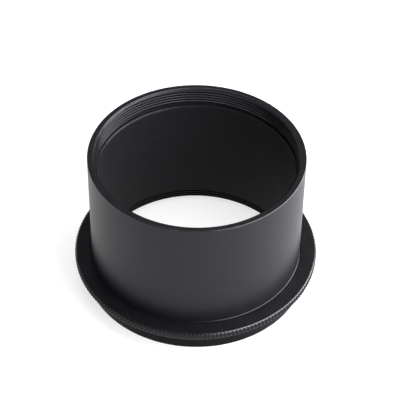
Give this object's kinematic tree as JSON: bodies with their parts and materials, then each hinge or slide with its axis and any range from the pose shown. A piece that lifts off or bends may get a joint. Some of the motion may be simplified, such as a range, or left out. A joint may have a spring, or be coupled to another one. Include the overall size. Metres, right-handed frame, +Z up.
{
  "type": "two-inch nosepiece barrel",
  "caption": "Open black two-inch barrel with a filter thread in its mouth, screwed into a knurled flange ring with a threaded foot.",
  "frame": {"origin": "centre of the flange ring's lower face, where the barrel stands on a surface", "axes": "+Z up the barrel's axis to the filter thread's mouth; X and Y are alike because the part is round"},
  "size_m": [0.059, 0.059, 0.0368],
  "materials": {
    "barrel_anodise": "satin black anodise",
    "ring_anodise": "satin black anodise"
  },
  "bodies": {
    "ring": {"knurled_flange_ring": "ring_anodise"},
    "barrel": {"barrel_tube": "barrel_anodise"}
  },
  "joints": [
    {"name": "barrel_unscrew", "type": "hinge", "parent": "ring", "child": "barrel", "pos_m": [0, 0, 0.007], "axis": [0, 0, 1], "range_deg": [0, 1440]}
  ]
}
